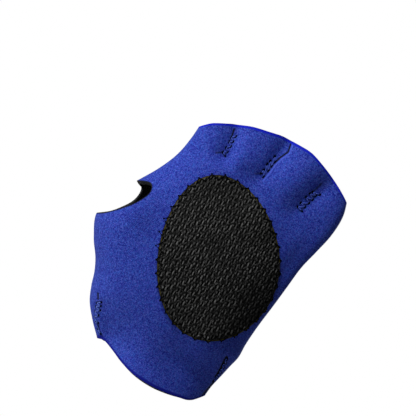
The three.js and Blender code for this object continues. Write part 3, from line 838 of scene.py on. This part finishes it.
def makeGripRubber():
    f = Finish(bpy.data.materials.new("gripRubber"))
    where = f.place()
    grain = f.noise(where, gripRubber["grain"], 1.5, 0.6)
    u, v = f.attribute("weaveU"), f.attribute("weaveV")
    uneven = f.attribute("unevenness")
    inset = f.attribute("inset")
    inside = {mark["name"]: insideMark(u, v, mark, Wire.offCentre) for mark in weaveMarks}
    # painted highlight: the raised ridges and beads lighten the tone below
    raised = f.band(inside["ridge"], 0.0, 0.6).math("MAXIMUM", f.band(inside["bead"], 0.0, 0.8) * 0.6)
    # painted shade: the sunk slots and eyes are coloured near black
    sunk = f.band(inside["slot"], -0.2, 0.3).math("MAXIMUM", f.band(inside["eye"], -0.1, 0.4) * 0.9)
    area, along = weaveCell()
    across = abs(area) / along                              # from one rib to the next
    grid = f.add("ShaderNodeCombineXYZ", {}, {0: u * (across / gripRubber["speckAcross"]),
                                              1: v * (along / gripRubber["speckAlong"])})
    speck = f.band(f.noise(grid, 1.0, 1.0, 0.6), *gripRubber["speckSpread"])
    fleck = f.fleck(where, gripRubber["fleck"]) * gripRubber["fleckGain"] + gripRubber["fleckBase"]
    tone = (raised * gripRubber["raisedHighlightTone"] + speck * gripRubber["speckTone"]) * uneven * fleck
    tone = tone + f.band(grain, *gripRubber["grainSpread"]) * gripRubber["grainTone"]
    tone = tone * f.band(inset, 0.3, 2.0, gripRubber["edgeTone"], 1.0)
    # painted highlight on the raised eyelet rings
    tone = tone + f.attribute("eyeletRing") * gripRubber["eyeletHighlightTone"]
    shade = f.blend(tone, gripRubber["dark"], gripRubber["light"])
    # the sunk marks get the near-black painted shade colour
    shade = f.blend(sunk, shade, gripRubber["sunk"])
    broken = f.band(f.noise(where, gripRubber["rubbing"], 1.0), *gripRubber["rubbedSpread"])
    rubbed = f.band(inset, 0.15, 0.35) * f.band(inset, 1.0, 0.75) * broken
    shade = f.blend(rubbed, shade, gripRubber["olive"])
    rough = f.band(sunk, 0.0, 1.0, gripRubber["roughness"], gripRubber["sunkRoughness"])
    normal = f.bump(grain, gripRubber["bumpStrength"], gripRubber["bumpDistance"])
    return f.surface(Base_Color=shade, Roughness=rough, Normal=normal,
                     Specular_IOR_Level=gripRubber["specular"])


def patchOutline(angle, grow=0.0):
    lengthwise = patch["halfLength"] * np.sin(angle) * (1 + patch["lopsided"] * np.cos(angle))
    crosswise = patch["halfWidth"] * np.cos(angle) * (1 + patch["egg"] * np.sin(angle))
    reach = np.hypot(lengthwise, crosswise)
    scale = (reach + grow) / reach
    tilt = math.radians(patch["tilt"])
    x = patch["x"] + scale * (crosswise * math.cos(tilt) - lengthwise * math.sin(tilt))
    z = patch["z"] + scale * (crosswise * math.sin(tilt) + lengthwise * math.cos(tilt))
    return x, z


# The needle holes round the patch, outside and inside its edge in turn: place, reach out and which
def patchHoles():
    angles = np.linspace(0, 2 * math.pi, 721)
    x, z = patchOutline(angles)
    reach = np.concatenate([[0], np.cumsum(np.hypot(np.diff(x), np.diff(z)))])
    even = np.interp(np.linspace(0, reach[-1], 2 * patchSewing["count"] + 1), reach, angles)
    holes = []
    wayX, wayZ = patchSewing["leftWay"]
    for i, angle in enumerate(even):
        outer = i % 2 == 0
        x, z = patchOutline(angle)
        fromX, fromZ = x - patch["x"], z - patch["z"]
        facing = (fromX * wayX + fromZ * wayZ) / math.hypot(fromX, fromZ)
        left = smoothStep(facing, *patchSewing["leftSpread"])
        outside = patchSewing["outside"] * (1 - left) + patchSewing["leftOutside"] * left
        grow = outside if outer else -patchSewing["inside"]
        holes.append((patchOutline(angle, grow), grow, outer))
    return holes


# Where each corner lies in the weave, a little astray from place to place, and how strong it is there
def weavePlaces(x, z):
    dice = np.random.default_rng(weave["seed"])
    size = weave["tableSize"]
    tables = (dice.random((3, size, size)) - 0.5) * 2
    u, v = weaveSteps(x - patch["x"], z - patch["z"])
    lowU, lowV = np.floor(u).astype(int), np.floor(v).astype(int)
    partU, partV = u - lowU, v - lowV

    def drift(table):
        near, far = lowU % size, (lowU + 1) % size
        low, high = lowV % size, (lowV + 1) % size
        first = table[near, low] * (1 - partU) + table[far, low] * partU
        second = table[near, high] * (1 - partU) + table[far, high] * partU
        return first * (1 - partV) + second * partV

    astray = [weave["wander"] * drift(table) for table in tables[:2]]
    u, v = weaveSteps(x - patch["x"] + astray[0], z - patch["z"] + astray[1])
    quiet = weave["quiet"]
    # near quiet's place the pattern's relief and tone are weaker by share
    quieted = quiet["share"] * bell(np.hypot(x - quiet["at"][0], z - quiet["at"][1]), quiet["radius"])
    return u, v, (1 + weave["unevenness"] * drift(tables[2])) * (1 - quieted)


def weaveRelief(u, v, strength):
    relief = np.zeros_like(u)
    for mark in weaveMarks:
        inside = np.maximum(insideMark(u, v, mark, lambda value: value - np.rint(value)), 0)
        relief += inside ** weave["roundness"] * mark["height"] * strength
    return relief


def ovalBlank(name, steps, grow):
    piece = addGrid(name, steps, steps)
    sheet = readCorners(piece)[:, :2]
    u = sheet[:, 0] * np.sqrt(1 - sheet[:, 1] ** 2 / 2)      # the square blank rounded to a disc
    v = sheet[:, 1] * np.sqrt(1 - sheet[:, 0] ** 2 / 2)
    reach = np.hypot(u, v)
    rimX, rimZ = patchOutline(np.arctan2(v, u), grow)
    x = patch["x"] + (rimX - patch["x"]) * reach
    z = patch["z"] + (rimZ - patch["z"]) * reach
    inset = (1 - reach) * np.hypot(rimX - patch["x"], rimZ - patch["z"])
    return piece, x, z, inset


def makeGripPatch():
    top = patch["seat"] + patch["thickness"]
    under, x, z, _ = ovalBlank("gripPatchUnderside", patch["undersideSteps"], 0.0)
    writeCorners(under, onSleeve(x, z, -1, patch["seat"]) * millimetre)
    piece, x, z, inset = ovalBlank("gripPatch", patch["steps"], -patch["edgeSlope"])
    u, v, strength = weavePlaces(x, z)
    relief = weaveRelief(u, v, strength) * smoothStep(inset, 0.0, weave["fadeIn"])
    drop = patch["edgeDrop"] * bell(inset, patch["edgeRound"])
    ring = np.zeros_like(x)
    pit = np.zeros_like(x)
    for (spotX, spotZ), _, outer in patchHoles():
        if not outer:
            reach = np.hypot(x - spotX, z - spotZ)
            ring = np.maximum(ring, bell(reach - patchSewing["eyelet"], patchSewing["eyeletWidth"]))
            pit = np.maximum(pit, bell(reach, patchSewing["eyeletPit"]))
    pulled = patchSewing["eyeletRise"] * ring - patchSewing["eyeletDip"] * pit
    relief = relief * (1 - np.maximum(ring, pit)) + pulled
    writeCorners(piece, onSleeve(x, z, -1, top + relief - drop) * millimetre)
    attributes = {
        "weaveU": u, "weaveV": v, "unevenness": strength * (1 - pit),
        "inset": inset + patch["edgeSlope"], "eyeletRing": ring * strength,
    }
    for name, values in attributes.items():
        addFloatAttribute(piece, name, values)
        addFloatAttribute(under, name, np.zeros(len(under.data.vertices)))
    for sheet, outwards in ((piece, -1), (under, 1)):
        for name in ("gripRubber", "cutRubberEdge"):
            sheet.data.materials.append(finishes[name])
        if sheet.data.polygons[len(sheet.data.polygons) // 2].normal.y * outwards < 0:
            sheet.data.flip_normals()

    # the cut edge: a sloping strip from every corner of the top's rim to the coarser underside's rim
    selectOnly(piece)
    under.select_set(True)
    bpy.ops.object.join()
    piece = bpy.context.object
    bpy.ops.object.mode_set(mode="EDIT")
    bpy.ops.mesh.select_all(action="DESELECT")
    bpy.ops.mesh.select_mode(type="EDGE")
    bpy.ops.mesh.select_non_manifold(extend=False, use_wire=False, use_multi_face=False,
                                     use_non_contiguous=False, use_verts=False)
    before = len(piece.data.polygons)
    bpy.ops.mesh.bridge_edge_loops()
    bpy.ops.object.mode_set(mode="OBJECT")
    for polygon in piece.data.polygons[before:]:
        polygon.material_index = 1
    smoothShade(piece, degrees=45)
    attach(piece, "root")
    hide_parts("grip_patch")
    return piece


finishes["gripRubber"] = makeGripRubber()
gripPatch = makeGripPatch()
print("grip patch made:", len(gripPatch.data.polygons), "faces")


# Threads

def threadPiece(name, runs, radius, finish):
    shape = bpy.data.curves.new(name, "CURVE")
    shape.dimensions = "3D"
    shape.bevel_depth = radius * millimetre
    shape.bevel_resolution = 2
    shape.use_fill_caps = True
    for run in runs:
        spline = shape.splines.new("POLY")
        spline.points.add(len(run) - 1)
        for point, place in zip(spline.points, np.asarray(run) * millimetre):
            point.co = (*place, 1)
    shape.materials.append(finishes[finish])
    selectOnly(addObject(name, shape))
    bpy.ops.object.convert(target="MESH")
    piece = bpy.context.object
    smoothShade(piece, degrees=60)
    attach(piece, "root")
    return piece


# A needle hole's shadow is painted: a short black plug, a dark thing standing for the shade in the
# hole, lies along its row, almost flush, and takes the threads in
def holePlug(place, way, slit, side, height):
    x, z = place
    return [onSleeve(x + way[0] * step, z + way[1] * step, side, height) for step in (-slit, 0.0, slit)]


# Joins the plugs, which come in groups of one radius, and the threads that run into them
def joinPlugs(name, threads, plugs):
    holes = [threadPiece(f"{name}Holes{round(radius * 100)}", runs, radius, "needleHole")
             for radius, runs in plugs.items()]
    bpy.ops.object.select_all(action="DESELECT")
    for piece in (*holes, *threads):
        piece.select_set(True)
    bpy.context.view_layer.objects.active = threads[0]
    bpy.ops.object.join()
    threads[0].name = name
    return threads[0]


# One stitch from hole to hole: out of the cloth, over it and back in
def stitchArc(start, end, side):
    t = np.linspace(0, 1, seamSewing["parts"] + 1)
    x = start[0] + (end[0] - start[0]) * t
    z = start[1] + (end[1] - start[1]) * t
    arch = np.sin(math.pi * t) ** seamSewing["arch"]
    return onSleeve(x, z, side, (seamSewing["sink"] + seamSewing["lift"]) * arch - seamSewing["sink"])


def makeSeamStitches(name, picked):
    threads = []
    plugs = {}
    for seam in picked:
        holes = seamHoles(seam)
        runs = []
        for side in seam["sides"]:
            runs += [stitchArc(a, b, side) for a, b in zip(holes, holes[1:])]
            for x, z, radius, way in holes:
                height = seamSewing["holeRise"] - radius
                plugs.setdefault(radius, []).append(holePlug((x, z), way, seam["slit"], side, height))
        threads.append(threadPiece(f"{name}Runs", runs, seamSewing["radius"], seam["thread"]))
    return joinPlugs(name, threads, plugs)


# The zigzag's thread climbs from the cloth onto the rubber and back
def makePatchStitches():
    runs = []
    plugs = []
    holes = patchHoles()
    top = patch["seat"] + patch["thickness"]
    inner = top - patchSewing["eyeletDip"]
    for (start, growStart, outer), (end, growEnd, _) in zip(holes, holes[1:]):
        across = np.array([start[0] - patch["x"], start[1] - patch["z"]])
        across /= np.linalg.norm(across)
        t = np.linspace(0, 1, patchSewing["parts"] + 1)
        px = start[0] + (end[0] - start[0]) * t
        pz = start[1] + (end[1] - start[1]) * t
        out = growStart + (growEnd - growStart) * t
        over = smoothStep(-out, *patchSewing["overEdge"])   # 1 over the rubber, 0 over the cloth
        rise = np.sin(math.pi * t) ** patchSewing["arch"]
        lift = patchSewing["clothLift"] + (patchSewing["lift"] - patchSewing["clothLift"]) * over
        height = over * top + lift - (1 - rise) * (patchSewing["sink"] + lift)
        runs.append(onSleeve(px, pz, -1, height))
        base = 0.0 if outer else inner
        sunk = base + patchSewing["holeRise"] - patchSewing["holeRadius"]
        plugs.append(holePlug(start, across, patchSewing["slit"], -1, sunk))
    threads = threadPiece("patchStitches", runs, patchSewing["radius"], "blackThread")
    return joinPlugs("patchStitches", [threads], {patchSewing["holeRadius"]: plugs})


tackStitches = makeSeamStitches("tackStitches", seams[:3])
dartStitches = makeSeamStitches("dartStitches", seams[3:])
patchStitches = makePatchStitches()
print("threads made")


# Stage, light and camera

# The picture's frame in the palm's plane, in millimetres and degrees
photo = {"pixels": 416, "millimetresPerPixel": 0.55, "centre": (-16.6, 21.5), "roll": 35.0}
camera = {"distance": 0.95, "sensor": 36, "clipStart": 0.01}
stage = {
    "floorBelow": 0.36, "floorRadius": 0.85, "floorThickness": 0.02, "floorGrain": 0.02,
    "floorDark": (0.86, 0.86, 0.87, 1), "floorLight": (0.92, 0.92, 0.93, 1), "floorRoughness": 0.8,
}
studio = {"seen": (1, 1, 1, 1), "fill": (0.93, 0.96, 1, 1), "fillStrength": 0.09}
softboxes = [
    {"name": "keyLight", "place": (-0.251, -0.260, 0.369), "size": 0.16, "power": 1.76},
    {"name": "sideLight", "place": (-0.713, -0.176, -0.246), "size": 0.3, "power": 2.45},
    {"name": "backLight", "place": (0.25, 0.9, 0.4), "size": 0.6, "power": 5},
]


def makeFloor():
    bpy.ops.object.select_all(action="DESELECT")
    thickness = stage["floorThickness"]
    bpy.ops.mesh.primitive_cylinder_add(vertices=96, radius=stage["floorRadius"], depth=thickness,
                                        location=(0, 0, -stage["floorBelow"] - thickness / 2))
    floor = bpy.context.object
    floor.name = "floor"
    f = Finish(bpy.data.materials.new("paleFloor"))
    shade = f.blend(f.noise(f.place(), stage["floorGrain"], 2.0), stage["floorDark"], stage["floorLight"])
    floor.data.materials.append(f.surface(Base_Color=shade, Roughness=stage["floorRoughness"]))


# The background is white to look at, and lights the glove only as much as fill says
def makeWorld():
    f = Finish(bpy.data.worlds.new("studio"))
    bpy.context.scene.world = f.owner
    fill = f.add("ShaderNodeBackground", {}, {"Color": studio["fill"], "Strength": studio["fillStrength"]})
    seen = f.add("ShaderNodeBackground", {}, {"Color": studio["seen"], "Strength": 1.0})
    looked = f.add("ShaderNodeLightPath", output="Is Camera Ray")
    mixed = f.add("ShaderNodeMixShader", {}, {0: looked, 1: fill, 2: seen})
    f.add("ShaderNodeOutputWorld", {}, {"Surface": mixed})


# Each softbox looks at the glove's origin
def addSoftbox(box):
    lamp = bpy.data.lights.new(box["name"], "AREA")
    lamp.shape = "DISK"
    lamp.size = box["size"]
    lamp.energy = box["power"]
    holder = addObject(box["name"], lamp)
    holder.location = box["place"]
    holder.rotation_euler = (-Vector(box["place"])).to_track_quat("-Z", "Y").to_euler()


def makeCamera():
    lens = bpy.data.cameras.new("camera")
    holder = addObject("camera", lens)
    width = photo["pixels"] * photo["millimetresPerPixel"] * millimetre
    lens.sensor_width = camera["sensor"]
    lens.lens = camera["sensor"] * camera["distance"] / width
    lens.clip_start = camera["clipStart"]
    roll = math.radians(photo["roll"])
    right = Vector((math.cos(roll), 0, math.sin(roll)))
    up = Vector((-math.sin(roll), 0, math.cos(roll)))
    turned = Matrix((right, up, right.cross(up))).transposed().to_4x4()
    centreX, centreZ = photo["centre"]
    place = Matrix.Translation((centreX * millimetre, -camera["distance"], centreZ * millimetre))
    holder.matrix_world = place @ turned
    bpy.context.scene.camera = holder


makeFloor()
makeWorld()
makeCamera()
for softbox in softboxes:
    addSoftbox(softbox)
bpy.context.scene.view_settings.view_transform = "Standard"
print("stage, light and camera set")
